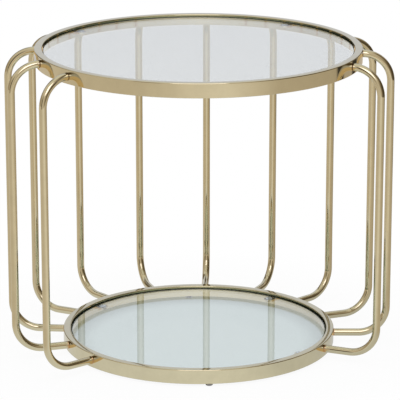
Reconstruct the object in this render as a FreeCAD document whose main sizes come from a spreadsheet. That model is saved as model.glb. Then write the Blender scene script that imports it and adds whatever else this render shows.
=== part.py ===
import FreeCAD, Part
import math
import os
import Sketcher

# Round two-tier side table. Two flat-sided hoops of rolled rectangular tube frame loose glass panes,
# and twelve C-bent round tubes carry the wide top hoop over the smaller lower one.
# Millimetres, +Z up. The origin is on the floor, on the axis of the hoops; the open front faces -Y.

document = FreeCAD.newDocument("side_table")
sheet = document.addObject("Spreadsheet::Sheet", "sizes")

driving_sizes = [
    ("overall_height", 409.5, "floor to the rim of the top ring"),
    ("ring_height", 19.5, "flat side of the rectangular tube"),
    ("ring_width", 10, "rim of the rectangular tube"),
    ("ring_wall", 1.2, "wall of the rectangular tube"),
    ("ring_corner", 1.2, "outer corner radius of the rectangular tube"),
    ("top_ring_radius", 216, "outer wall of the top ring"),
    ("lower_ring_radius", 183, "outer wall of the lower ring"),
    ("tube_diameter", 10, "cage tube"),
    ("tube_wall", 1, "wall of the cage tube"),
    ("tube_count", 12, "cage tubes"),
    ("tube_pitch", 22, "degrees from one cage tube to the next"),
    ("top_stub", 1, "straight tube between the top ring and the upper bend"),
    ("bend_radius", 37, "centre line of both bends"),
    ("vent_diameter", 5, "drain hole in the ring behind each tube end"),
    ("weld_gap", 0.05, "fit-up gap that the weld fills"),
    ("cope_depth", 1, "tube left inside the ring wall before its end is coped"),
    ("glass_thickness", 5, "both panes"),
    ("glass_recess", 3.5, "rim of the ring to the top of the pane"),
    ("glass_clearance", 1, "pane to the ring round it"),
    ("glass_edge", 0.8, "rounded edge of the panes"),
    ("tab_count", 4, "tabs in each ring"),
    ("tab_start", 45, "degrees from +X to the first tab"),
    ("tab_width", 14, "width, and full round at the inner end"),
    ("tab_length", 14, "reach inwards from the ring"),
    ("tab_thickness", 3, "plate"),
    ("bumper_diameter", 9, "clear pad on each tab"),
    ("bumper_thickness", 1.5, "clear pad on each tab"),
    ("bumper_edge", 0.4, "rounded edge of the pads"),
    ("foot_height", 3, "floor to the lower ring"),
    ("foot_diameter", 10, "head of the foot"),
    ("foot_round", 2.2, "rounded lower edge of the head"),
    ("foot_start", 266, "degrees from +X to the front foot"),
    ("stem_diameter", 5, "neck of the foot in the ring wall"),
    ("stem_clearance", 0.1, "neck to its hole"),
    ("barb_diameter", 6.4, "collar that snaps in behind the wall"),
    ("barb_height", 3, "collar that snaps in behind the wall"),
    ("barb_clearance", 0.1, "wall to the collar"),
    ("barb_round", 1, "rounded end of the collar"),
]
for row, (alias, size, note) in enumerate(driving_sizes, start=1):
    sheet.set(f"A{row}", note)
    sheet.set(f"B{row}", str(size))
    sheet.setAlias(f"B{row}", alias)
document.recompute()

# Heights and places that several pieces share, as formulas of the driving sizes
top_base = "(sizes.overall_height - sizes.ring_height)"
lower_base = "sizes.foot_height"
first_tube_angle = "(90 - (sizes.tube_count - 1) * sizes.tube_pitch / 2)"
bend_start = "(sizes.top_ring_radius + sizes.top_stub)"
cage_radius = f"({bend_start} + sizes.bend_radius)"
tiers = [
    ("top", "sizes.top_ring_radius", top_base),
    ("lower", "sizes.lower_ring_radius", lower_base),
]
pane_drop = "(sizes.ring_height - sizes.glass_recess - sizes.glass_thickness)"
foot_circle = "(sizes.lower_ring_radius - sizes.ring_width / 2)"
foot_names = ["front", "right", "back", "left"]
foot_step = 360 / len(foot_names)

pieces = []


def number(formula):
    result = sheet.evalExpression(formula)
    return float(getattr(result, "Value", result))


def new_piece(label):
    body = document.addObject("PartDesign::Body", label)
    body.Label = label
    pieces.append(body)
    return body


def new_sketch(body, name, plane_role, offset="0"):
    plane = next(item for item in body.Origin.OriginFeatures if item.Role == plane_role)
    sketch = body.newObject("Sketcher::SketchObject", name)
    sketch.AttachmentSupport = [(plane, "")]
    sketch.MapMode = "FlatFace"
    sketch.setExpression("AttachmentOffset.Base.z", offset)
    return sketch


def turn_about_z(body, angle):
    body.Placement = FreeCAD.Placement(FreeCAD.Vector(), FreeCAD.Rotation(FreeCAD.Vector(0, 0, 1), 1))
    body.setExpression("Placement.Rotation.Angle", angle)


def size_constraint(sketch, kind, places, formula):
    index = sketch.addConstraint(Sketcher.Constraint(kind, *places, number(formula)))
    sketch.setExpression(f"Constraints[{index}]", formula)


def place_point(sketch, geometry, point, axis, formula):
    # A point at zero lies on the sketch axis itself, and any other is measured from the origin
    if number(formula) == 0:
        axis_line = -2 if axis == "DistanceX" else -1
        sketch.addConstraint(Sketcher.Constraint("PointOnObject", geometry, point, axis_line))
    else:
        size_constraint(sketch, axis, (-1, 1, geometry, point), formula)


def draw_circle(sketch, radius, centre_x="0", centre_y="0"):
    centre = FreeCAD.Vector(number(centre_x), number(centre_y), 0)
    circle = sketch.addGeometry(Part.Circle(centre, FreeCAD.Vector(0, 0, 1), number(radius)))
    size_constraint(sketch, "Radius", (circle,), radius)
    place_point(sketch, circle, 3, "DistanceX", centre_x)
    place_point(sketch, circle, 3, "DistanceY", centre_y)


def draw_outline(sketch, corners):
    # Closed outline of level and upright lines, counter-clockwise. A corner is (x, y, radius) as formulas,
    # and a radius of None leaves it sharp.
    points = [FreeCAD.Vector(number(x), number(y), 0) for x, y, radius in corners]
    radii = [number(radius) if radius else 0 for x, y, radius in corners]
    count = len(corners)
    ways = [(points[(i + 1) % count] - points[i]).normalize() for i in range(count)]
    lines = []
    for i, way in enumerate(ways):
        after = (i + 1) % count
        start = points[i] + way * radii[i]
        end = points[after] - way * radii[after]
        line = sketch.addGeometry(Part.LineSegment(start, end))
        level = abs(way.x) > abs(way.y)
        sketch.addConstraint(Sketcher.Constraint("Horizontal" if level else "Vertical", line))
        place_point(sketch, line, 1, "DistanceY" if level else "DistanceX", corners[i][1 if level else 0])
        lines.append(line)
    for i, (x, y, radius) in enumerate(corners):
        before = lines[i - 1]
        if radius is None:
            sketch.addConstraint(Sketcher.Constraint("Coincident", before, 2, lines[i], 1))
            continue
        centre = points[i] + (ways[i] - ways[i - 1]) * radii[i]
        start_angle = math.atan2(-ways[i].y, -ways[i].x)
        round_part = Part.Circle(centre, FreeCAD.Vector(0, 0, 1), radii[i])
        arc = sketch.addGeometry(Part.ArcOfCircle(round_part, start_angle, start_angle + math.pi / 2))
        sketch.addConstraint(Sketcher.Constraint("Tangent", before, 2, arc, 1))
        sketch.addConstraint(Sketcher.Constraint("Tangent", arc, 2, lines[i], 1))
        size_constraint(sketch, "Radius", (arc,), radius)


def box_corners(left, right, bottom, top, radius):
    return [(left, bottom, radius), (right, bottom, radius), (right, top, radius), (left, top, radius)]


def revolve(body, sketch):
    solid = body.newObject("PartDesign::Revolution", "revolved")
    solid.Profile = sketch
    solid.ReferenceAxis = (sketch, ["V_Axis"])
    solid.Angle = 360


def pocket(body, sketch, length):
    cut = body.newObject("PartDesign::Pocket", "cut")
    cut.Profile = sketch
    cut.Type = "Length"
    cut.setExpression("Length", length)
    cut.Reversed = True
    return cut


def repeat_about_z(body, feature, angle, count):
    pattern = body.newObject("PartDesign::PolarPattern", "repeated")
    pattern.Originals = [feature]
    pattern.Axis = (next(item for item in body.Origin.OriginFeatures if item.Role == "Z_Axis"), [""])
    pattern.Mode = "Spacing"
    pattern.setExpression("Offset", angle)
    pattern.setExpression("Occurrences", count)
    body.Tip = pattern


# Rings: hollow section turned about Z, then a drain hole behind each tube end. The ring stands turned
# to the first tube, so that its holes start there.
def make_ring(label, radius, base):
    body = new_piece(label)
    top = f"({base} + sizes.ring_height)"
    inner = f"({radius} - sizes.ring_width)"
    section = new_sketch(body, "section", "XZ_Plane")
    draw_outline(section, box_corners(inner, radius, base, top, "sizes.ring_corner"))
    draw_outline(section, box_corners(
        f"({inner} + sizes.ring_wall)", f"({radius} - sizes.ring_wall)",
        f"({base} + sizes.ring_wall)", f"({top} - sizes.ring_wall)", None))
    revolve(body, section)
    vent = new_sketch(body, "vent", "YZ_Plane", f"{radius} - sizes.ring_width / 2")
    draw_circle(vent, "sizes.vent_diameter / 2", centre_y=f"({base} + sizes.ring_height / 2)")
    vent_hole = pocket(body, vent, "sizes.ring_width")
    repeat_about_z(body, vent_hole, "sizes.tube_pitch", "sizes.tube_count")
    turn_about_z(body, first_tube_angle)
    return body


def drill_foot_holes(body):
    # Holes in the lower wall of the ring for the stems of the feet
    angle = f"(sizes.foot_start - {first_tube_angle})"
    hole = new_sketch(body, "foot_hole", "XY_Plane", lower_base)
    draw_circle(
        hole, "sizes.stem_diameter / 2 + sizes.stem_clearance",
        f"{foot_circle} * cos({angle} * 1 deg)", f"{foot_circle} * sin({angle} * 1 deg)")
    foot_hole = pocket(body, hole, "sizes.ring_height / 2")
    repeat_about_z(body, foot_hole, str(foot_step), str(len(foot_names)))


# Cage tubes: a hollow section swept along two bends, with both ends coped to the round wall of a ring
def make_cage_tube(label, angle):
    body = new_piece(label)
    top_axis = f"({top_base} + sizes.ring_height / 2)"
    lower_axis = f"({lower_base} + sizes.ring_height / 2)"
    top_start = "(sizes.top_ring_radius - sizes.cope_depth)"
    lower_end = "(sizes.lower_ring_radius - sizes.cope_depth)"
    path = new_sketch(body, "path", "XZ_Plane")
    draw_tube_path(path, top_start, lower_end, top_axis, lower_axis)
    section = new_sketch(body, "section", "YZ_Plane", top_start)
    draw_circle(section, "sizes.tube_diameter / 2", centre_y=top_axis)
    draw_circle(section, "sizes.tube_diameter / 2 - sizes.tube_wall", centre_y=top_axis)
    tube = body.newObject("PartDesign::AdditivePipe", "tube")
    tube.Profile = section
    tube.Spine = (path, [f"Edge{i + 1}" for i in range(path.GeometryCount)])
    for tier, ring_radius, base in tiers:
        cope = new_sketch(body, f"{tier}_cope", "XY_Plane", base)
        draw_circle(cope, f"{ring_radius} + sizes.weld_gap")
        pocket(body, cope, "sizes.ring_height")
    turn_about_z(body, angle)


def draw_tube_path(path, top_start, lower_end, top_axis, lower_axis):
    outside = number(cage_radius)
    bend = number("sizes.bend_radius")
    bend_x, high, low = (number(formula) for formula in (bend_start, top_axis, lower_axis))
    normal = FreeCAD.Vector(0, 0, 1)
    upper_bend = Part.Circle(FreeCAD.Vector(bend_x, high - bend, 0), normal, bend)
    lower_bend = Part.Circle(FreeCAD.Vector(bend_x, low + bend, 0), normal, bend)
    top_run = path.addGeometry(Part.LineSegment(
        FreeCAD.Vector(number(top_start), high, 0), FreeCAD.Vector(bend_x, high, 0)))
    upper_arc = path.addGeometry(Part.ArcOfCircle(upper_bend, 0, math.pi / 2))
    upright = path.addGeometry(Part.LineSegment(
        FreeCAD.Vector(outside, high - bend, 0), FreeCAD.Vector(outside, low + bend, 0)))
    lower_arc = path.addGeometry(Part.ArcOfCircle(lower_bend, -math.pi / 2, 0))
    lower_run = path.addGeometry(Part.LineSegment(
        FreeCAD.Vector(bend_x, low, 0), FreeCAD.Vector(number(lower_end), low, 0)))
    for joint in (
            (top_run, 2, upper_arc, 2), (upper_arc, 1, upright, 1),
            (upright, 2, lower_arc, 2), (lower_arc, 1, lower_run, 1)):
        path.addConstraint(Sketcher.Constraint("Tangent", *joint))
    path.addConstraint(Sketcher.Constraint("Horizontal", top_run))
    path.addConstraint(Sketcher.Constraint("Vertical", upright))
    path.addConstraint(Sketcher.Constraint("Horizontal", lower_run))
    path.addConstraint(Sketcher.Constraint("Equal", upper_arc, lower_arc))
    size_constraint(path, "Radius", (upper_arc,), "sizes.bend_radius")
    place_point(path, upright, 1, "DistanceX", cage_radius)
    place_point(path, top_run, 1, "DistanceX", top_start)
    place_point(path, top_run, 1, "DistanceY", top_axis)
    place_point(path, lower_run, 2, "DistanceX", lower_end)
    place_point(path, lower_run, 2, "DistanceY", lower_axis)


# Panes and pads: flat discs with a rounded edge
def make_disc(label, radius, bottom, thickness, edge):
    body = new_piece(label)
    top = f"({bottom} + {thickness})"
    section = new_sketch(body, "section", "XZ_Plane")
    draw_outline(section, [
        ("0", bottom, None), (radius, bottom, edge), (radius, top, edge), ("0", top, None)])
    revolve(body, section)
    return body


def make_pane(label, ring_radius, base):
    radius = f"({ring_radius} - sizes.ring_width - sizes.glass_clearance)"
    make_disc(label, radius, f"({base} + {pane_drop})", "sizes.glass_thickness", "sizes.glass_edge")


# Tabs: small plates with a full-round inner end, whose outer end follows the wall that it is welded to
def make_tab(label, ring_radius, base, angle):
    body = new_piece(label)
    wall = f"({ring_radius} - sizes.ring_width)"
    end = f"({wall} - sizes.weld_gap)"
    round_centre = f"({wall} - sizes.tab_length + sizes.tab_width / 2)"
    bottom = f"{base} + {pane_drop} - sizes.bumper_thickness - sizes.tab_thickness"
    outline = new_sketch(body, "outline", "XY_Plane", bottom)
    half_width = number("sizes.tab_width") / 2
    end_radius = number(end)
    end_angle = math.asin(half_width / end_radius)
    end_x = end_radius * math.cos(end_angle)
    centre = FreeCAD.Vector(number(round_centre), 0, 0)
    normal = FreeCAD.Vector(0, 0, 1)
    near_side = outline.addGeometry(Part.LineSegment(
        FreeCAD.Vector(centre.x, -half_width, 0), FreeCAD.Vector(end_x, -half_width, 0)))
    wall_end = outline.addGeometry(Part.ArcOfCircle(
        Part.Circle(FreeCAD.Vector(), normal, end_radius), -end_angle, end_angle))
    far_side = outline.addGeometry(Part.LineSegment(
        FreeCAD.Vector(end_x, half_width, 0), FreeCAD.Vector(centre.x, half_width, 0)))
    round_end = outline.addGeometry(Part.ArcOfCircle(
        Part.Circle(centre, normal, half_width), math.pi / 2, 3 * math.pi / 2))
    outline.addConstraint(Sketcher.Constraint("Coincident", near_side, 2, wall_end, 1))
    outline.addConstraint(Sketcher.Constraint("Coincident", wall_end, 2, far_side, 1))
    outline.addConstraint(Sketcher.Constraint("Tangent", far_side, 2, round_end, 1))
    outline.addConstraint(Sketcher.Constraint("Tangent", round_end, 2, near_side, 1))
    outline.addConstraint(Sketcher.Constraint("Horizontal", near_side))
    outline.addConstraint(Sketcher.Constraint("Horizontal", far_side))
    outline.addConstraint(Sketcher.Constraint("Coincident", wall_end, 3, -1, 1))
    outline.addConstraint(Sketcher.Constraint("PointOnObject", round_end, 3, -1))
    size_constraint(outline, "Radius", (wall_end,), end)
    size_constraint(outline, "Radius", (round_end,), "sizes.tab_width / 2")
    size_constraint(outline, "DistanceX", (-1, 1, round_end, 3), round_centre)
    plate = body.newObject("PartDesign::Pad", "plate")
    plate.Profile = outline
    plate.setExpression("Length", "sizes.tab_thickness")
    turn_about_z(body, angle)


def make_bumper(label, ring_radius, base, angle):
    bottom = f"({base} + {pane_drop} - sizes.bumper_thickness)"
    body = make_disc(
        label, "sizes.bumper_diameter / 2", bottom, "sizes.bumper_thickness", "sizes.bumper_edge")
    reach = f"({ring_radius} - sizes.ring_width - sizes.tab_length + sizes.tab_width / 2)"
    body.setExpression("Placement.Base.x", f"{reach} * cos({angle} * 1 deg)")
    body.setExpression("Placement.Base.y", f"{reach} * sin({angle} * 1 deg)")


# Feet: a rounded head under the ring, a neck through its wall and a collar that snaps in behind it
def make_foot(label, angle):
    body = new_piece(label)
    head = "sizes.foot_diameter / 2"
    neck = "sizes.stem_diameter / 2"
    collar = "sizes.barb_diameter / 2"
    shoulder = "(sizes.foot_height + sizes.ring_wall + sizes.barb_clearance)"
    tip = f"({shoulder} + sizes.barb_height)"
    section = new_sketch(body, "section", "XZ_Plane")
    draw_outline(section, [
        ("0", "0", None), (head, "0", "sizes.foot_round"), (head, "sizes.foot_height", None),
        (neck, "sizes.foot_height", None), (neck, shoulder, None), (collar, shoulder, None),
        (collar, tip, "sizes.barb_round"), ("0", tip, None)])
    revolve(body, section)
    body.setExpression("Placement.Base.x", f"{foot_circle} * cos({angle} * 1 deg)")
    body.setExpression("Placement.Base.y", f"{foot_circle} * sin({angle} * 1 deg)")


make_ring("top_ring", "sizes.top_ring_radius", top_base)
lower_ring = make_ring("lower_ring", "sizes.lower_ring_radius", lower_base)
drill_foot_holes(lower_ring)

for place in range(round(number("sizes.tube_count"))):
    make_cage_tube(f"cage_tube_{place + 1}", f"{first_tube_angle} + {place} * sizes.tube_pitch")

for tier, ring_radius, base in tiers:
    make_pane(f"{tier}_glass", ring_radius, base)
    for place in range(round(number("sizes.tab_count"))):
        angle = f"(sizes.tab_start + {place} * 360 / sizes.tab_count)"
        make_tab(f"{tier}_tab_{place + 1}", ring_radius, base, angle)
        make_bumper(f"{tier}_bumper_{place + 1}", ring_radius, base, angle)

for place, name in enumerate(foot_names):
    make_foot(f"foot_{name}", f"(sizes.foot_start + {place * foot_step})")

document.recompute()

# Nothing is written unless every object is sound
for item in document.Objects:
    if "Invalid" in item.State or "Error" in item.State:
        raise RuntimeError(f"{item.Label} failed: {item.State}")
for body in pieces:
    if body.Shape.isNull() or not body.Shape.isValid() or len(body.Shape.Solids) != 1:
        raise RuntimeError(f"{body.Label} has no sound solid")

os.makedirs("parts", exist_ok=True)
for body in pieces:
    body.Shape.exportStep(f"parts/{body.Label}.step")
    print(f"{body.Label}: {body.Shape.Volume:.0f} mm3")
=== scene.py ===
import math

import bmesh
import bpy
from mathutils import Matrix, Vector


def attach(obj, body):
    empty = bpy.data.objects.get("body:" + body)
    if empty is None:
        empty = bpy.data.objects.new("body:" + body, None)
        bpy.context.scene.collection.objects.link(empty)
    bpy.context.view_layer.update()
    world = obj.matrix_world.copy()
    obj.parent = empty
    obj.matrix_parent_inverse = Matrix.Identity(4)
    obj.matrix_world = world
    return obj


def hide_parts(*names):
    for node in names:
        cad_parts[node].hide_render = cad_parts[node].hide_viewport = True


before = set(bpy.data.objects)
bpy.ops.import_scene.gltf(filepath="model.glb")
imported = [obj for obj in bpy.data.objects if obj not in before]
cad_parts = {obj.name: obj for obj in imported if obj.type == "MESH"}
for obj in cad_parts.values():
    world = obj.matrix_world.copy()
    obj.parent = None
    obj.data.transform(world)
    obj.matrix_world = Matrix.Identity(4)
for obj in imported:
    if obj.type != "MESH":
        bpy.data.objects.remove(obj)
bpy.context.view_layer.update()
scene = bpy.context.scene
scene.view_settings.view_transform = "Standard"
print("frame loaded:", len(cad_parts), "nodes")

tiny = 1e-6        # metres: closer than this is the same place
sharpFold = 0.5    # radians: edges that fold more than this get rounded


# small helpers for nodes and pieces

def addNode(tree, kind, **values):
    node = tree.nodes.new(kind)
    for name, value in values.items():
        if hasattr(node, name):
            setattr(node, name, value)
        else:
            node.inputs[name.replace("_", " ")].default_value = value
    return node


def setRamp(node, stops):
    ramp = node.color_ramp
    while len(ramp.elements) < len(stops):
        ramp.elements.new(0.5)
    for element, (place, colour) in zip(ramp.elements, stops):
        element.position = place
        element.color = (*colour, 1.0)


def addFade(tree, value, reach, low=0.0, high=1.0):
    fade = addNode(tree, "ShaderNodeMapRange", interpolation_type="SMOOTHSTEP")
    fade.inputs["From Min"].default_value, fade.inputs["From Max"].default_value = reach
    fade.inputs["To Min"].default_value, fade.inputs["To Max"].default_value = low, high
    tree.links.new(value, fade.inputs["Value"])
    return fade


def newMaterial(name):
    material = bpy.data.materials.new(name)
    material.use_nodes = True
    tree = material.node_tree
    shader = tree.nodes["Principled BSDF"]
    return material, tree, shader


def turnAboutZ(degrees):
    return Matrix.Rotation(math.radians(degrees), 4, "Z")


def vertsOf(geom):
    return [g for g in geom if isinstance(g, bmesh.types.BMVert)]


def turnProfile(bm, steps):
    bmesh.ops.spin(bm, geom=list(bm.verts) + list(bm.edges), cent=(0, 0, 0), axis=(0, 0, 1),
                   dvec=(0, 0, 0), angle=2 * math.pi, steps=steps, use_merge=True)


def thicken(bm, thickness):
    everything = list(bm.faces) + list(bm.edges) + list(bm.verts)
    grown = bmesh.ops.extrude_face_region(bm, geom=everything)["geom"]
    bmesh.ops.translate(bm, vec=(0, 0, thickness), verts=vertsOf(grown))
    bmesh.ops.recalc_face_normals(bm, faces=bm.faces)


def foldedEdges(bm):
    return [e for e in bm.edges if len(e.link_faces) == 2 and e.calc_face_angle() > sharpFold]


def roundOff(bm, geom, kind, offset, steps):
    bmesh.ops.bevel(bm, geom=geom, affect=kind, offset=offset, segments=steps, profile=0.5, material=-1)


def finishPiece(name, bm, material, body, nodes, flatFaces=False):
    bmesh.ops.remove_doubles(bm, verts=bm.verts, dist=tiny)
    bmesh.ops.recalc_face_normals(bm, faces=bm.faces)
    for face in bm.faces:
        face.smooth = True
    mesh = bpy.data.meshes.new(name)
    bm.to_mesh(mesh)
    bm.free()
    piece = bpy.data.objects.new(name, mesh)
    scene.collection.objects.link(piece)
    mesh.materials.append(material)
    if flatFaces:  # flat walls stay flat beside their rounded corners
        normals = piece.modifiers.new("flatWalls", "WEIGHTED_NORMAL")
        normals.weight = 100
        normals.keep_sharp = True
    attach(piece, body)
    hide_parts(*nodes)
    return piece


# shared surface: uneven tint, faint haze and the slow waviness of rolled and polished metal

surfaceNoise = {
    "hazeDetail": 4.0,
    "hazeRoughness": 0.6,
    "hazeSpan": (0.3, 0.7),   # of the haze, from the smoothest to the roughest place
    "speckScale": 900.0,
    "speckDetail": 2.0,
    "speckDepth": 0.015,
    "waveScale": 9.0,
    "waveDetail": 1.0,
}

surfaceSockets = (
    ("Tint", "NodeSocketColor", (0.5, 0.4, 0.25, 1)),
    ("Tint Dark", "NodeSocketColor", (0.4, 0.3, 0.2, 1)),
    ("Haze Scale", "NodeSocketFloat", 30.0),
    ("Rough Low", "NodeSocketFloat", 0.03),
    ("Rough High", "NodeSocketFloat", 0.08),
)


def makeHandledSurface():
    group = bpy.data.node_groups.new("handledSurface", "ShaderNodeTree")
    face = group.interface
    for name, kind, start in surfaceSockets:
        socket = face.new_socket(name, in_out="INPUT", socket_type=kind)
        socket.default_value = start
    for name, kind in (("Color", "NodeSocketColor"), ("Roughness", "NodeSocketFloat"),
                       ("Height", "NodeSocketFloat")):
        face.new_socket(name, in_out="OUTPUT", socket_type=kind)
    inside = addNode(group, "NodeGroupInput")
    outside = addNode(group, "NodeGroupOutput")
    place = addNode(group, "ShaderNodeTexCoord")
    haze = addNode(group, "ShaderNodeTexNoise", Detail=surfaceNoise["hazeDetail"],
                   Roughness=surfaceNoise["hazeRoughness"])
    speck = addNode(group, "ShaderNodeTexNoise", Scale=surfaceNoise["speckScale"],
                    Detail=surfaceNoise["speckDetail"])
    wave = addNode(group, "ShaderNodeTexNoise", Scale=surfaceNoise["waveScale"],
                   Detail=surfaceNoise["waveDetail"])
    tint = addNode(group, "ShaderNodeMix", data_type="RGBA")
    rough = addNode(group, "ShaderNodeMapRange")
    rough.inputs["From Min"].default_value, rough.inputs["From Max"].default_value = surfaceNoise["hazeSpan"]
    fine = addNode(group, "ShaderNodeMath", operation="MULTIPLY_ADD")
    fine.inputs[1].default_value = surfaceNoise["speckDepth"]
    link = group.links.new
    for texture in (haze, speck, wave):
        link(place.outputs["Object"], texture.inputs["Vector"])
    link(inside.outputs["Haze Scale"], haze.inputs["Scale"])
    link(haze.outputs["Fac"], tint.inputs["Factor"])
    link(inside.outputs["Tint Dark"], tint.inputs["A"])
    link(inside.outputs["Tint"], tint.inputs["B"])
    link(haze.outputs["Fac"], rough.inputs["Value"])
    link(inside.outputs["Rough Low"], rough.inputs["To Min"])
    link(inside.outputs["Rough High"], rough.inputs["To Max"])
    link(speck.outputs["Fac"], fine.inputs[0])
    link(rough.outputs["Result"], fine.inputs[2])
    link(tint.outputs["Result"], outside.inputs["Color"])
    link(fine.outputs["Value"], outside.inputs["Roughness"])
    link(wave.outputs["Fac"], outside.inputs["Height"])
    return group


handledSurface = makeHandledSurface()


def addSurface(tree, look):
    surface = addNode(tree, "ShaderNodeGroup", node_tree=handledSurface)
    for name, socket in (("tint", "Tint"), ("tintDark", "Tint Dark"), ("hazeScale", "Haze Scale"),
                         ("roughLow", "Rough Low"), ("roughHigh", "Rough High")):
        if name in look:
            surface.inputs[socket].default_value = look[name]
    return surface


goldLook = {
    "tint": (0.748, 0.683, 0.467, 1.0),
    "tintDark": (0.617, 0.562, 0.383, 1.0),
    "braze": (0.60, 0.41, 0.23, 1.0),
    "brazeFrom": (0.05, 0.45),
    # painted shade in the seam, where the tube meets the ring
    "seamShade": (0.10, 0.065, 0.035, 1.0),
    "seamShadeFrom": (0.55, 0.70),
    "hazeScale": 60.0,
    "roughLow": 0.03,
    "roughHigh": 0.07,
    "waviness": 0.006,
    "waveDepth": 0.002,
}


def makeGold():
    material, tree, shader = newMaterial("paleGoldPlating")
    surface = addSurface(tree, goldLook)
    bump = addNode(tree, "ShaderNodeBump", Strength=goldLook["waviness"], Distance=goldLook["waveDepth"])
    # the braze mask holds the copper tint and, where it runs highest, the painted seam shade
    joint = addNode(tree, "ShaderNodeAttribute", attribute_name="braze")
    shader.inputs["Metallic"].default_value = 1.0
    colour = surface.outputs["Color"]
    for name in ("braze", "seamShade"):   # copper where the tube was brazed on, and painted shade in the seam itself
        fade = addFade(tree, joint.outputs["Fac"], goldLook[name + "From"])
        layer = addNode(tree, "ShaderNodeMix", data_type="RGBA")
        layer.inputs["B"].default_value = goldLook[name]
        tree.links.new(fade.outputs["Result"], layer.inputs["Factor"])
        tree.links.new(colour, layer.inputs["A"])
        colour = layer.outputs["Result"]
    tree.links.new(colour, shader.inputs["Base Color"])
    tree.links.new(surface.outputs["Roughness"], shader.inputs["Roughness"])
    tree.links.new(surface.outputs["Height"], bump.inputs["Height"])
    tree.links.new(bump.outputs["Normal"], shader.inputs["Normal"])
    return material


glassLook = {
    "tint": (0.972, 0.988, 0.984, 1.0),
    "tintDark": (0.958, 0.982, 0.976, 1.0),
    "hazeScale": 14.0,
    "bulk": (0.62, 0.90, 0.80, 1.0),
    "bulkDensity": 5.0,
    "shadow": (0.86, 0.89, 0.88, 1.0),
    "ior": 1.5,
}


def makeGlass():
    material, tree, shader = newMaterial("clearGlass")
    surface = addSurface(tree, glassLook)
    tree.links.new(surface.outputs["Color"], shader.inputs["Base Color"])
    shader.inputs["Roughness"].default_value = 0.0
    shader.inputs["IOR"].default_value = glassLook["ior"]
    shader.inputs["Transmission Weight"].default_value = 1.0
    bulk = addNode(tree, "ShaderNodeVolumeAbsorption", Color=glassLook["bulk"],
                   Density=glassLook["bulkDensity"])
    through = addNode(tree, "ShaderNodeBsdfTransparent", Color=glassLook["shadow"])
    rays = addNode(tree, "ShaderNodeLightPath")
    mix = addNode(tree, "ShaderNodeMixShader")
    end = tree.nodes["Material Output"]
    tree.links.new(rays.outputs["Is Shadow Ray"], mix.inputs["Fac"])
    tree.links.new(shader.outputs["BSDF"], mix.inputs[1])
    tree.links.new(through.outputs["BSDF"], mix.inputs[2])
    tree.links.new(mix.outputs["Shader"], end.inputs["Surface"])
    tree.links.new(bulk.outputs["Volume"], end.inputs["Volume"])
    return material


# the edge of clear sheet glass looks deep green, because the light in it has come the long way; that look is
# painted into the edge's colour
edgeLook = {
    "tint": (0.022, 0.050, 0.038, 1.0),
    "tintDark": (0.010, 0.022, 0.016, 1.0),
    "grindScale": 700.0,
    "grindDetail": 3.0,
    "roughness": 0.35,
}


def makeGroundEdge():
    material, tree, shader = newMaterial("groundEdge")
    place = addNode(tree, "ShaderNodeTexCoord")
    grind = addNode(tree, "ShaderNodeTexNoise", Scale=edgeLook["grindScale"], Detail=edgeLook["grindDetail"])
    tone = addNode(tree, "ShaderNodeMix", data_type="RGBA")
    tone.inputs["A"].default_value = edgeLook["tintDark"]
    tone.inputs["B"].default_value = edgeLook["tint"]
    shader.inputs["Roughness"].default_value = edgeLook["roughness"]
    tree.links.new(place.outputs["Object"], grind.inputs["Vector"])
    tree.links.new(grind.outputs["Fac"], tone.inputs["Factor"])
    tree.links.new(tone.outputs["Result"], shader.inputs["Base Color"])
    return material


rubberLook = {
    "tint": (0.30, 0.295, 0.275, 1.0),
    "tintDark": (0.24, 0.235, 0.22, 1.0),
    "hazeScale": 400.0,
    "roughLow": 0.5,
    "roughHigh": 0.7,
}

vinylLook = {
    "tint": (0.93, 0.95, 0.95, 1.0),
    "tintDark": (0.88, 0.91, 0.91, 1.0),
    "hazeScale": 300.0,
    "roughLow": 0.12,
    "roughHigh": 0.25,
    "ior": 1.42,
    "clear": 0.45,   # soft vinyl is a little milky
}


def makeSoftStuff(name, look):
    material, tree, shader = newMaterial(name)
    surface = addSurface(tree, look)
    tree.links.new(surface.outputs["Color"], shader.inputs["Base Color"])
    tree.links.new(surface.outputs["Roughness"], shader.inputs["Roughness"])
    if "clear" in look:
        shader.inputs["IOR"].default_value = look["ior"]
        shader.inputs["Transmission Weight"].default_value = look["clear"]
    return material


gold = makeGold()
glass = makeGlass()
groundEdge = makeGroundEdge()
rubber = makeSoftStuff("greyRubber", rubberLook)
clearVinyl = makeSoftStuff("clearVinyl", vinylLook)
print("materials ready")


# rings: rounded section turned about Z

ring = {
    "topRadius": 0.216,
    "lowerRadius": 0.183,
    "topBase": 0.390,
    "lowerBase": 0.003,
    "height": 0.0195,
    "width": 0.010,
    "corner": 0.0012,
    "cornerSteps": 5,
    "crown": 0.00015,   # the rolled rim stands a little higher in its middle
    "crownCuts": 7,
    "roundSteps": 240,
}


def makeRing(name, node, radius, base):
    middle = radius - ring["width"] / 2
    flat = ring["width"] / 2 - ring["corner"]
    bm = bmesh.new()
    bmesh.ops.create_grid(bm, x_segments=1, y_segments=1, size=0.5)
    bmesh.ops.scale(bm, vec=(ring["width"], ring["height"], 1), verts=bm.verts)
    bmesh.ops.rotate(bm, matrix=Matrix.Rotation(math.pi / 2, 3, "X"), verts=bm.verts)
    bmesh.ops.translate(bm, vec=(middle, 0, base + ring["height"] / 2), verts=bm.verts)
    roundOff(bm, list(bm.verts), "VERTICES", ring["corner"], ring["cornerSteps"])
    bmesh.ops.delete(bm, geom=list(bm.faces), context="FACES_ONLY")
    rim = [e for e in bm.edges if all(v.co.z > base + ring["height"] - tiny for v in e.verts)]
    bmesh.ops.subdivide_edges(bm, edges=rim, cuts=ring["crownCuts"])
    for v in bm.verts:
        if v.co.z > base + ring["height"] / 2:
            v.co.z -= ring["crown"] * min(1.0, abs(v.co.x - middle) / flat) ** 2
    turnProfile(bm, ring["roundSteps"])
    return finishPiece(name, bm, gold, "frame", [node], flatFaces=True)


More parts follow.
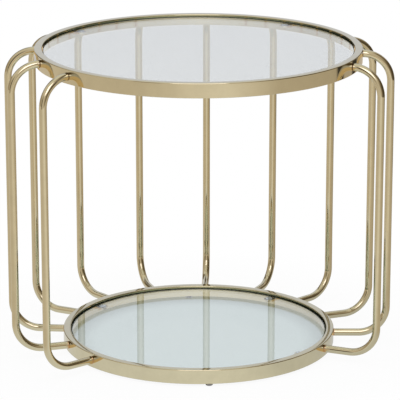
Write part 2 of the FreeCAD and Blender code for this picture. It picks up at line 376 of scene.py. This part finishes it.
makeRing("topRing", "top_ring", ring["topRadius"], ring["topBase"])
makeRing("lowerRing", "lower_ring", ring["lowerRadius"], ring["lowerBase"])
print("rings made")


# cage tubes: a circle carried along two bends, with a small polished weld at each end

tube = {
    "count": 12,
    "firstAngle": -31.0,
    "pitch": 22.0,
    "radius": 0.005,
    "bend": 0.037,
    "stub": 0.001,
    "weldGap": 0.00005,
    "weldFlare": (1.06, 1.025, 1.006, 1.0),  # times the tube's radius, from the ring outwards
    "weldStep": 0.0002,
    "copeReach": 0.001,
    "topBraze": 0.0010,
    # the top joints reach the painted seam shade, the lower ones only the copper
    "topTintAndShade": 1.0,
    "lowerBraze": 0.0022,
    "lowerHeat": 0.5,
    "endHalf": 0.007,   # what lies this near to the height of an end belongs to it
    "sides": 40,
    "bendSteps": 32,
}


def extendTube(bm, loop, way, scaleBy=1.0):
    edges = [e for e in loop if isinstance(e, bmesh.types.BMEdge)]
    grown = bmesh.ops.extrude_edge_only(bm, edges=edges)["geom"]
    verts = vertsOf(grown)
    bmesh.ops.translate(bm, vec=way, verts=verts)
    if scaleBy != 1.0:
        middle = sum((v.co for v in verts), Vector()) / len(verts)
        bmesh.ops.scale(bm, vec=(1, scaleBy, scaleBy), verts=verts, space=Matrix.Translation(-middle))
    return [g for g in grown if not isinstance(g, bmesh.types.BMFace)]


def bendTube(bm, loop, centre):
    turned = bmesh.ops.spin(bm, geom=loop, cent=centre, axis=(0, 1, 0), dvec=(0, 0, 0),
                            angle=math.pi / 2, steps=tube["bendSteps"])["geom_last"]
    return [g for g in turned if not isinstance(g, bmesh.types.BMFace)]


def copeEnd(bm, wall, height):
    # the end follows the round wall of the ring, and the fit fades out along the tube
    for v in bm.verts:
        along = v.co.x - wall
        if abs(v.co.z - height) < tube["endHalf"] and along < tube["copeReach"]:
            fade = 1 - max(along, 0) / tube["copeReach"]
            v.co.x += (math.sqrt(wall ** 2 - v.co.y ** 2) - wall) * fade


# writes the braze mask: copper tint near the ring, and painted seam shade where it runs high
def tintAndShadeEnd(bm, braze, wall, height, reach, peak):
    for v in bm.verts:
        if abs(v.co.z - height) < tube["endHalf"]:
            v[braze] = peak * max(0.0, 1 - (max(v.co.x - wall, 0) / reach) ** 2)


def makeCageTube(index):
    topWall = ring["topRadius"] + tube["weldGap"]
    lowerWall = ring["lowerRadius"] + tube["weldGap"]
    high = ring["topBase"] + ring["height"] / 2
    low = ring["lowerBase"] + ring["height"] / 2
    bendX = ring["topRadius"] + tube["stub"]
    flare = tube["weldFlare"]
    step = tube["weldStep"]
    weld = step * (len(flare) - 1)
    bm = bmesh.new()
    bmesh.ops.create_circle(bm, segments=tube["sides"], radius=tube["radius"] * flare[0])
    bmesh.ops.rotate(bm, matrix=Matrix.Rotation(math.pi / 2, 3, "Y"), verts=bm.verts)
    bmesh.ops.translate(bm, vec=(topWall, 0, high), verts=bm.verts)
    loop = list(bm.verts) + list(bm.edges)
    for before, after in zip(flare, flare[1:]):
        loop = extendTube(bm, loop, (step, 0, 0), after / before)
    loop = extendTube(bm, loop, (bendX - topWall - weld, 0, 0))
    loop = bendTube(bm, loop, (bendX, 0, high - tube["bend"]))
    loop = extendTube(bm, loop, (0, 0, low - high + 2 * tube["bend"]))
    loop = bendTube(bm, loop, (bendX, 0, low + tube["bend"]))
    loop = extendTube(bm, loop, (lowerWall + tube["lowerBraze"] - bendX, 0, 0))
    loop = extendTube(bm, loop, (weld - tube["lowerBraze"], 0, 0))
    for before, after in zip(flare[::-1], flare[-2::-1]):
        loop = extendTube(bm, loop, (-step, 0, 0), after / before)
    # the braze mask: copper tint, and painted seam shade at the top joints
    braze = bm.verts.layers.float.new("braze")
    for wall, height, reach, peak in ((topWall, high, tube["topBraze"], tube["topTintAndShade"]),
                                      (lowerWall, low, tube["lowerBraze"], tube["lowerHeat"])):
        tintAndShadeEnd(bm, braze, wall, height, reach, peak)
        copeEnd(bm, wall, height)
    place = turnAboutZ(tube["firstAngle"] + index * tube["pitch"])
    bmesh.ops.transform(bm, matrix=place, verts=bm.verts)
    node = f"cage_tube_{index + 1}"
    return finishPiece(f"cageTube{index + 1}", bm, gold, "frame", [node])


for index in range(tube["count"]):
    makeCageTube(index)
print("cage tubes made")


# panes: flat discs with a ground and polished edge

pane = {
    "thickness": 0.005,
    "recess": 0.0035,
    "clearance": 0.001,
    "edge": 0.0008,
    "edgeSteps": 3,
    "edgeSlope": 0.98,  # faces that lean more than this belong to the ground edge
    "roundSteps": 240,
}


def makePane(name, node, body, ringRadius, base):
    radius = ringRadius - ring["width"] - pane["clearance"]
    top = base + ring["height"] - pane["recess"]
    bm = bmesh.new()
    bmesh.ops.create_circle(bm, cap_ends=True, segments=pane["roundSteps"], radius=radius)
    bmesh.ops.translate(bm, vec=(0, 0, top - pane["thickness"]), verts=bm.verts)
    thicken(bm, pane["thickness"])
    roundOff(bm, foldedEdges(bm), "EDGES", pane["edge"], pane["edgeSteps"])
    bm.normal_update()
    for face in bm.faces:
        face.material_index = int(abs(face.normal.z) < pane["edgeSlope"])
    piece = finishPiece(name, bm, glass, body, [node], flatFaces=True)
    piece.data.materials.append(groundEdge)
    return piece


makePane("topPane", "top_glass", "top_pane", ring["topRadius"], ring["topBase"])
makePane("lowerPane", "lower_glass", "lower_pane", ring["lowerRadius"], ring["lowerBase"])
print("panes made")


# tabs with clear pads, which carry the panes

tab = {
    "count": 4,
    "start": 45.0,
    "width": 0.014,
    "length": 0.014,
    "thickness": 0.003,
    "weldGap": 0.00005,
    "edge": 0.0004,
    "edgeSteps": 2,
    "squareSlack": 0.3,   # radians off a right angle, for the edges that get rounded
    "padRadius": 0.0045,
    "padThickness": 0.0015,
    "padEdge": 0.0004,
    "padEdgeSteps": 3,
    "roundSteps": 32,
}


def makeTab(name, node, ringRadius, base, angle):
    wall = ringRadius - ring["width"] - tab["weldGap"]
    top = base + ring["height"] - pane["recess"] - pane["thickness"] - tab["padThickness"]
    half = tab["width"] / 2
    middle = wall - tab["length"] + half
    bm = bmesh.new()
    bmesh.ops.create_circle(bm, cap_ends=True, segments=tab["roundSteps"], radius=half)
    bmesh.ops.translate(bm, vec=(middle, 0, top - tab["thickness"]), verts=bm.verts)
    for v in bm.verts:  # the outer half runs out straight to the ring's wall
        if v.co.x > middle - tiny:
            v.co.x = math.sqrt(wall ** 2 - v.co.y ** 2)
    thicken(bm, tab["thickness"])
    rims = [e for e in bm.edges if len(e.link_faces) == 2
            and abs(e.calc_face_angle() - math.pi / 2) < tab["squareSlack"]
            and abs(e.verts[0].co.z - e.verts[1].co.z) < tiny]
    roundOff(bm, rims, "EDGES", tab["edge"], tab["edgeSteps"])
    bmesh.ops.transform(bm, matrix=turnAboutZ(angle), verts=bm.verts)
    return finishPiece(name, bm, gold, "frame", [node], flatFaces=True)


def makePad(name, node, ringRadius, base, angle):
    reach = ringRadius - ring["width"] - tab["length"] + tab["width"] / 2
    top = base + ring["height"] - pane["recess"] - pane["thickness"]
    bm = bmesh.new()
    bmesh.ops.create_cone(bm, cap_ends=True, segments=tab["roundSteps"], radius1=tab["padRadius"],
                          radius2=tab["padRadius"], depth=tab["padThickness"])
    bmesh.ops.translate(bm, vec=(reach, 0, top - tab["padThickness"] / 2), verts=bm.verts)
    roundOff(bm, foldedEdges(bm), "EDGES", tab["padEdge"], tab["padEdgeSteps"])
    bmesh.ops.transform(bm, matrix=turnAboutZ(angle), verts=bm.verts)
    return finishPiece(name, bm, clearVinyl, "frame", [node], flatFaces=True)


for tier, ringRadius, base in (("top", ring["topRadius"], ring["topBase"]),
                               ("lower", ring["lowerRadius"], ring["lowerBase"])):
    for index in range(tab["count"]):
        angle = tab["start"] + index * 360 / tab["count"]
        makeTab(f"{tier}Tab{index + 1}", f"{tier}_tab_{index + 1}", ringRadius, base, angle)
        makePad(f"{tier}Pad{index + 1}", f"{tier}_bumper_{index + 1}", ringRadius, base, angle)
print("tabs and pads made")


# feet: rounded rubber heads pushed into the lower ring

foot = {
    "names": ("front", "right", "back", "left"),
    "start": 266.0,
    "radius": 0.005,
    "height": 0.003,
    "round": 0.0022,
    "headSteps": 6,
    "neckRadius": 0.0025,
    "neckTop": 0.0043,
    "barbRadius": 0.0032,
    "barbTop": 0.0073,
    "barbRound": 0.001,
    "barbSteps": 4,
    "roundSteps": 40,
}


def makeFoot(name, node, angle):
    bm = bmesh.new()
    outline = [
        (0, 0), (foot["radius"], 0), (foot["radius"], foot["height"]), (foot["neckRadius"], foot["height"]),
        (foot["neckRadius"], foot["neckTop"]), (foot["barbRadius"], foot["neckTop"]),
        (foot["barbRadius"], foot["barbTop"]), (0, foot["barbTop"])]
    verts = [bm.verts.new((x, 0, z)) for x, z in outline]
    bm.faces.new(verts)
    headCorner, barbCorner = verts[1], verts[6]
    roundOff(bm, [headCorner], "VERTICES", foot["round"], foot["headSteps"])
    roundOff(bm, [barbCorner], "VERTICES", foot["barbRound"], foot["barbSteps"])
    bmesh.ops.delete(bm, geom=list(bm.faces), context="FACES_ONLY")
    onAxis = [e for e in bm.edges if all(abs(v.co.x) < tiny for v in e.verts)]
    bmesh.ops.delete(bm, geom=onAxis, context="EDGES")
    turnProfile(bm, foot["roundSteps"])
    reach = ring["lowerRadius"] - ring["width"] / 2
    place = turnAboutZ(angle) @ Matrix.Translation((reach, 0, 0))
    bmesh.ops.transform(bm, matrix=place, verts=bm.verts)
    return finishPiece(name, bm, rubber, "frame", [node], flatFaces=True)


for index, side in enumerate(foot["names"]):
    makeFoot(f"foot{side.capitalize()}", f"foot_{side}", foot["start"] + index * 360 / len(foot["names"]))
print("feet made")


# studio: painted reflections; what the metal mirrors is set in levels round the table,
# where 0 and 1 are the left, 0.25 the camera's side, 0.5 the right and 0.75 the back

studio = {
    "turn": 8.43,   # degrees: the paper sweep lies square to the camera
    "plainTint": ((1.0, 1.0, 1.0), (1.0, 1.0, 1.0)),   # of the dim and of the bright levels
    "warmTint": ((1.0, 0.74, 0.42), (1.0, 0.96, 0.93)),
    "deepTint": ((0.86, 1.0, 0.80), (0.95, 1.0, 0.90)),
    "greenTint": ((0.80, 1.0, 0.70), (0.90, 1.0, 0.85)),
}


def addLevels(tree, around, stops, tints):
    # a plain number is a grey level that takes the tints, a colour stays as it is
    ramp = addNode(tree, "ShaderNodeValToRGB")
    colours = []
    for at, level in stops:
        if not isinstance(level, tuple):
            level = [level * (dim + (full - dim) * level) for dim, full in zip(*tints)]
        colours.append((at, level))
    setRamp(ramp, colours)
    tree.links.new(around.outputs["Fac"], ramp.inputs["Fac"])
    return ramp


def addRayTest(tree, rays, depth, count):
    # one for rays that have met that many mirrors or glass faces, else nought
    test = addNode(tree, "ShaderNodeMath", operation="GREATER_THAN")
    test.inputs[1].default_value = count - 0.5
    tree.links.new(rays.outputs[depth], test.inputs[0])
    return test


def mixColours(tree, factor, first, second):
    mix = addNode(tree, "ShaderNodeMix", data_type="RGBA")
    tree.links.new(factor.outputs[0], mix.inputs["Factor"])
    for name, colour in (("A", first), ("B", second)):
        if isinstance(colour, tuple):
            mix.inputs[name].default_value = (*colour, 1)
        else:
            output = "Color" if "Color" in colour.outputs else "Result"
            tree.links.new(colour.outputs[output], mix.inputs[name])
    return mix


def addRays(tree, last, rays, seenBy):
    for ray, seen in seenBy:
        mix = addNode(tree, "ShaderNodeMixShader")
        tree.links.new(rays.outputs[ray], mix.inputs["Fac"])
        tree.links.new(last.outputs[0], mix.inputs[1])
        tree.links.new(seen.outputs[0], mix.inputs[2])
        last = mix
    return last


def addBlend(tree, first, second, factor):
    mix = addNode(tree, "ShaderNodeMixShader")
    tree.links.new(first.outputs[0], mix.inputs[1])
    tree.links.new(second.outputs[0], mix.inputs[2])
    if isinstance(factor, float):
        mix.inputs["Fac"].default_value = factor
    else:
        tree.links.new(factor.outputs[0], mix.inputs["Fac"])
    return mix


def addRound(tree, coordinates):
    # turned to the camera's side, then the way round the table from 0 to 1
    turned = addNode(tree, "ShaderNodeMapping")
    turned.inputs["Rotation"].default_value = (0, 0, math.radians(studio["turn"]))
    around = addNode(tree, "ShaderNodeTexGradient", gradient_type="RADIAL")
    tree.links.new(coordinates, turned.inputs["Vector"])
    tree.links.new(turned.outputs["Vector"], around.inputs["Vector"])
    return around


# floor: a paper sweep, plain white to the camera; to mirrors and panes it glows with painted reflections and
# painted shadow

paleSweep = (0.66, 0.68, 0.75)

sweep = {
    "radius": 6.0,
    "sides": 96,
    "colour": (0.9, 0.9, 0.9, 1.0),
    "shadowReach": (0.24, 0.46),   # metres from the table's axis, as in every fade below
    "shadowGlow": 0.93,
    "mirrorShare": 0.96,           # of the painted reflection levels, beside the lit paper itself
    # of the painted levels seen through a pane, beside the lit paper itself
    "throughShare": 0.92,
    # painted reflections: the paper in a mirror, from near to far, with dark bands and stripes painted in
    "near": [
        (0.0, 0.76), (0.14, 0.78), (0.27, 0.86), (0.33, 0.79), (0.37, 0.68), (0.50, 0.62), (0.58, 0.52),
        (0.75, 0.70), (1.0, 0.76)],
    "far": [
        (0.0, 0.67), (0.13, 0.67), (0.195, 0.75), (0.23, 0.83), (0.30, 0.90), (0.355, 0.76), (0.40, 0.60),
        (0.53, 0.53), (0.63, 0.44), (0.75, 0.62), (0.92, 0.72), (1.0, 0.67)],
    "farFrom": (0.23, 0.40),
    "edge": [
        (0.0, 0.67), (0.13, 0.67), (0.195, 0.75), (0.23, 0.83), (0.30, 0.90), (0.355, 0.76), (0.40, 0.60),
        (0.53, 0.53), (0.545, 0.50), (0.549, 0.02), (0.568, 0.02), (0.573, 0.52), (0.606, 0.52),
        (0.611, 0.02), (0.633, 0.02), (0.639, 0.55), (0.70, 0.58), (0.72, paleSweep), (0.81, paleSweep),
        (0.83, 0.66), (0.92, 0.72), (1.0, 0.67)],
    "edgeFrom": (1.00, 1.22),
    "beyond": [
        (0.0, 0.70), (0.118, 0.68), (0.132, 0.25), (0.172, 0.25), (0.186, 0.68), (0.27, 0.70), (0.30, 0.58),
        (0.33, 0.40), (0.37, 0.20), (0.42, 0.10), (0.55, 0.07), (0.60, 0.15), (0.66, 0.50),
        (0.715, paleSweep), (0.81, paleSweep), (0.83, 0.60), (1.0, 0.70)],
    "beyondFrom": (1.97, 2.35),
    "second": (0.88, 0.69, 0.50),   # painted reflection of the paper in a mirror that shows in another
    "gap": (0.05, 0.055, 0.045),    # painted shade down the gap beside the lower pane
    "gapFrom": (0.178, 0.183),
    # painted reflection of the paper in a mirror that is seen through a pane, with painted shade towards the
    # middle under the table
    "pastPane": [
        (0.0, 0.62), (0.10, 0.80), (0.25, 1.0), (0.40, 0.80), (0.50, 0.62), (0.60, 0.68), (0.70, 0.95),
        (0.75, 1.0), (0.80, 0.95), (0.90, 0.68), (1.0, 0.62)],
    "pastMiddleShade": [
        (0.0, 0.30), (0.10, 0.55), (0.25, 1.0), (0.40, 0.55), (0.50, 0.30), (0.60, 0.36), (0.70, 0.85),
        (0.75, 1.0), (0.80, 0.85), (0.90, 0.36), (1.0, 0.30)],
    "pastFrom": (0.138, 0.158),
    # the paper through a pane, with painted shadow under the table and a darker painted contact shadow under
    # the ring
    "through": (0.88, 0.867, 0.83),
    "underTableShadow": (0.665, 0.73, 0.71),
    "underRingShadow": (0.47, 0.51, 0.49),
    "ringShadowFrom": (0.135, 0.176),
    "ringContactShadow": (0.27, 0.27, 0.16),
    "contactShadowFrom": (0.1665, 0.172),
    "underFrom": (0.18, 0.26),
    # painted reflection: the paper through a pane that shows in a mirror
    "deepMiddle": (0.82, 0.79, 0.70),
    "deepNear": [
        (0.0, 0.35), (0.07, 0.65), (0.25, 0.80), (0.43, 0.65), (0.50, 0.30), (0.55, 0.12), (0.60, 0.08),
        (0.68, 0.28), (0.75, 0.44), (0.82, 0.28), (0.92, 0.18), (1.0, 0.35)],
    "deepFrom": (0.08, 0.11),
    "deepFar": [
        (0.0, 0.14), (0.03, 0.20), (0.083, 0.33), (0.19, 0.34), (0.25, 0.46), (0.31, 0.54), (0.36, 0.51),
        (0.41, 0.24), (0.47, 0.20), (0.53, 0.12), (0.64, 0.06), (0.86, 0.02), (0.93, 0.04), (1.0, 0.14)],
}


def mixPaintedPaperReflection(tree, around, away, twice, behindPane):
    near = addLevels(tree, around, sweep["near"], studio["plainTint"])
    far = addLevels(tree, around, sweep["far"], studio["warmTint"])
    edge = addLevels(tree, around, sweep["edge"], studio["warmTint"])
    beyond = addLevels(tree, around, sweep["beyond"], studio["warmTint"])
    pastPane = addLevels(tree, around, sweep["pastPane"], studio["plainTint"])
    pastMiddleShade = addLevels(tree, around, sweep["pastMiddleShade"], studio["plainTint"])
    gap = addFade(tree, away, sweep["gapFrom"])
    paper = mixColours(tree, addFade(tree, away, sweep["farFrom"]), near, far)
    paper = mixColours(tree, addFade(tree, away, sweep["edgeFrom"]), paper, edge)
    paper = mixColours(tree, addFade(tree, away, sweep["beyondFrom"]), paper, beyond)
    paper = mixColours(tree, gap, sweep["gap"], paper)
    pastWall = mixColours(tree, addFade(tree, away, sweep["pastFrom"]), pastMiddleShade, pastPane)
    paper = mixColours(tree, behindPane, paper, pastWall)
    second = mixColours(tree, gap, sweep["gap"], sweep["second"])
    second = mixColours(tree, behindPane, second, sweep["second"])
    return mixColours(tree, twice, paper, second)


def mixPaintedPaperThrough(tree, around, away, once, deepIn):
    deepNear = addLevels(tree, around, sweep["deepNear"], studio["deepTint"])
    deepFar = addLevels(tree, around, sweep["deepFar"], studio["deepTint"])
    underFade = addFade(tree, away, sweep["underFrom"])
    under = mixColours(tree, addFade(tree, away, sweep["ringShadowFrom"]), sweep["underTableShadow"], sweep["underRingShadow"])
    under = mixColours(tree, addFade(tree, away, sweep["contactShadowFrom"]), under, sweep["ringContactShadow"])
    under = mixColours(tree, underFade, under, sweep["through"])
    deep = mixColours(tree, addFade(tree, away, sweep["deepFrom"]), sweep["deepMiddle"], deepNear)
    deep = mixColours(tree, underFade, deep, deepFar)
    return mixColours(tree, deepIn, mixColours(tree, once, under, deep), under)


def makeFloor():
    bm = bmesh.new()
    bmesh.ops.create_circle(bm, cap_ends=True, segments=sweep["sides"], radius=sweep["radius"])
    mesh = bpy.data.meshes.new("floor")
    bm.to_mesh(mesh)
    bm.free()
    floor = bpy.data.objects.new("floor", mesh)
    scene.collection.objects.link(floor)
    material, tree, shader = newMaterial("paperSweep")
    shader.inputs["Base Color"].default_value = sweep["colour"]
    shader.inputs["Roughness"].default_value = 1.0
    shader.inputs["Specular IOR Level"].default_value = 0.0
    rays = addNode(tree, "ShaderNodeLightPath")
    place = addNode(tree, "ShaderNodeTexCoord")
    around = addRound(tree, place.outputs["Object"])
    distance = addNode(tree, "ShaderNodeVectorMath", operation="LENGTH")
    tree.links.new(place.outputs["Object"], distance.inputs[0])
    away = distance.outputs["Value"]
    once = addRayTest(tree, rays, "Glossy Depth", 1)
    twice = addRayTest(tree, rays, "Glossy Depth", 2)
    behindPane = addRayTest(tree, rays, "Transmission Depth", 1)
    deepIn = addRayTest(tree, rays, "Transmission Depth", 3)
    mirrored = mixPaintedPaperReflection(tree, around, away, twice, behindPane)
    through = mixPaintedPaperThrough(tree, around, away, once, deepIn)
    white = addNode(tree, "ShaderNodeEmission", Color=(1, 1, 1, 1), Strength=1.0)
    # glows that carry the painted reflections and the painted shadow
    mirrorGlow = addNode(tree, "ShaderNodeEmission", Strength=1.0)
    throughGlow = addNode(tree, "ShaderNodeEmission", Strength=1.0)
    tree.links.new(mirrored.outputs["Result"], mirrorGlow.inputs["Color"])
    tree.links.new(through.outputs["Result"], throughGlow.inputs["Color"])
    shadowFade = addFade(tree, away, sweep["shadowReach"], sweep["shadowGlow"], 1.0)
    shown = addBlend(tree, shader, white, shadowFade)
    mirrorMix = addBlend(tree, shader, mirrorGlow, sweep["mirrorShare"])
    throughMix = addBlend(tree, shader, throughGlow, sweep["throughShare"])
    last = addRays(tree, shader, rays, (
        ("Is Glossy Ray", mirrorMix), ("Is Transmission Ray", throughMix), ("Is Camera Ray", shown)))
    tree.links.new(last.outputs[0], tree.nodes["Material Output"].inputs["Surface"])
    mesh.materials.append(material)


# sky: white to the camera, plain in the light it gives and through a pane, and a painted room in the mirrors

paleWall = (0.68, 0.70, 0.78)

room = {
    "diffuse": 0.60,
    "through": (0.90, 0.92, 0.93),
    # painted reflections: the room that the mirrors show, round the horizon, higher up and overhead, with
    # dark bands
    "horizon": [
        (0.0, 0.45), (0.09, 0.50), (0.118, 0.66), (0.132, 0.06), (0.172, 0.06), (0.186, 0.67), (0.27, 0.69),
        (0.30, 0.55), (0.34, 0.36), (0.38, 0.19), (0.42, 0.11), (0.50, 0.08), (0.55, 0.10), (0.62, 0.14),
        (0.69, 0.22), (0.712, paleWall), (0.808, paleWall), (0.825, 0.12), (0.868, 0.12), (0.88, 0.40),
        (1.0, 0.45)],
    "above": [
        (0.0, 0.74), (0.30, 0.74), (0.36, 0.62), (0.42, 0.30), (0.46, 0.16), (0.51, 0.13), (0.56, 0.26),
        (0.62, 0.60), (0.68, paleWall), (0.835, paleWall), (0.85, 0.22), (0.89, 0.22),
        (0.905, (0.76, 0.77, 0.80)), (0.97, 0.76), (1.0, 0.74)],
    "aboveFrom": (0.20, 0.62),   # sines of the heights, as in the other two fades
    "zenith": (0.80, 0.77, 0.70),
    "zenithFrom": (0.80, 0.95),
    # painted reflections in a mirror that shows in another: off a pane, then off a tube or ring
    "secondPane": [
        (0.0, 0.08), (0.14, 0.20), (0.25, (0.50, 0.45, 0.36)), (0.36, 0.30), (0.45, 0.12), (0.64, 0.04),
        (0.86, 0.02), (1.0, 0.08)],
    "secondTube": [
        (0.0, (0.24, 0.21, 0.18)), (0.12, (0.54, 0.54, 0.60)), (0.25, (0.64, 0.65, 0.82)),
        (0.38, (0.56, 0.56, 0.64)), (0.50, (0.24, 0.21, 0.18)), (0.58, (0.14, 0.11, 0.08)),
        (0.75, (0.12, 0.09, 0.05)), (0.92, (0.14, 0.11, 0.08)), (1.0, (0.24, 0.21, 0.18))],
    "secondOver": (0.12, 0.085, 0.05),
    "overFrom": (0.42, 0.72),
}


def makeSky():
    world = bpy.data.worlds.new("studio")
    scene.world = world
    world.use_nodes = True
    tree = world.node_tree
    tree.nodes.clear()
    end = addNode(tree, "ShaderNodeOutputWorld")
    shown = addNode(tree, "ShaderNodeBackground", Color=(1, 1, 1, 1), Strength=1.0)
    light = addNode(tree, "ShaderNodeBackground", Color=(1, 1, 1, 1), Strength=room["diffuse"])
    through = addNode(tree, "ShaderNodeBackground", Strength=1.0)
    mirrored = addNode(tree, "ShaderNodeBackground", Strength=1.0)
    rays = addNode(tree, "ShaderNodeLightPath")
    way = addNode(tree, "ShaderNodeTexCoord")
    around = addRound(tree, way.outputs["Generated"])
    axes = addNode(tree, "ShaderNodeSeparateXYZ")
    tree.links.new(way.outputs["Generated"], axes.inputs["Vector"])
    height = axes.outputs["Z"]
    once = addRayTest(tree, rays, "Glossy Depth", 1)
    twice = addRayTest(tree, rays, "Glossy Depth", 2)
    offPane = addRayTest(tree, rays, "Is Singular Ray", 1)
    horizon = addLevels(tree, around, room["horizon"], studio["warmTint"])
    above = addLevels(tree, around, room["above"], studio["warmTint"])
    secondPane = addLevels(tree, around, room["secondPane"], studio["greenTint"])
    secondTube = addLevels(tree, around, room["secondTube"], studio["plainTint"])
    walls = mixColours(tree, addFade(tree, height, room["aboveFrom"]), horizon, above)
    walls = mixColours(tree, addFade(tree, height, room["zenithFrom"]), walls, room["zenith"])
    offTube = mixColours(tree, addFade(tree, height, room["overFrom"]), secondTube, room["secondOver"])
    second = mixColours(tree, offPane, offTube, secondPane)
    roof = mixColours(tree, twice, walls, second)
    beyond = mixColours(tree, once, room["through"], roof)
    tree.links.new(roof.outputs["Result"], mirrored.inputs["Color"])
    tree.links.new(beyond.outputs["Result"], through.inputs["Color"])
    last = addRays(tree, light, rays, (
        ("Is Glossy Ray", mirrored), ("Is Transmission Ray", through), ("Is Camera Ray", shown)))
    tree.links.new(last.outputs[0], end.inputs["Surface"])


# soft light from above, and a lower one at the front that the metal mirrors

lightAim = (0, 0, 0.2)

softboxes = {
    "topSoftbox": {
        "place": (0.0, -0.2, 2.3), "size": (2.0, 2.0), "radiance": 1.4,
        "colour": (1, 1, 1), "mirrored": False},
    "frontSoftbox": {
        "place": (0.02, -1.35, 1.32), "size": (0.95, 0.91), "radiance": 1.8,
        "colour": (0.86, 0.84, 1.0), "mirrored": True},
}


def makeSoftbox(name, box):
    wide, deep = box["size"]
    lamp = bpy.data.lights.new(name, "AREA")
    lamp.shape = "RECTANGLE"
    lamp.size, lamp.size_y = wide, deep
    lamp.energy = box["radiance"] * math.pi * wide * deep
    lamp.color = box["colour"]
    softbox = bpy.data.objects.new(name, lamp)
    scene.collection.objects.link(softbox)
    softbox.location = turnAboutZ(-studio["turn"]) @ Vector(box["place"])
    softbox.rotation_euler = (Vector(lightAim) - softbox.location).to_track_quat("-Z", "Y").to_euler()
    softbox.visible_camera = False
    softbox.visible_glossy = softbox.visible_transmission = box["mirrored"]


makeFloor()
makeSky()
for name, box in softboxes.items():
    makeSoftbox(name, box)
print("floor and light made")


# camera at the photograph's viewing angle

view = {
    "distance": 3.2812,
    "height": 1.12818,
    "yaw": -8.4289,
    "aim": -0.0348,
    "pitch": 15.8186,
    "lens": 229.248,
    "sensor": 36.0,
    "clipEnd": 50.0,
}


def makeCamera():
    lens = bpy.data.cameras.new("camera")
    lens.sensor_width = view["sensor"]
    lens.lens = view["lens"]
    lens.clip_end = view["clipEnd"]
    camera = bpy.data.objects.new("camera", lens)
    scene.collection.objects.link(camera)
    camera.location = turnAboutZ(view["yaw"]) @ Vector((0, -view["distance"], view["height"]))
    camera.rotation_euler = (math.radians(90 - view["pitch"]), 0, math.radians(view["yaw"] + view["aim"]))
    scene.camera = camera


makeCamera()
print("camera set")
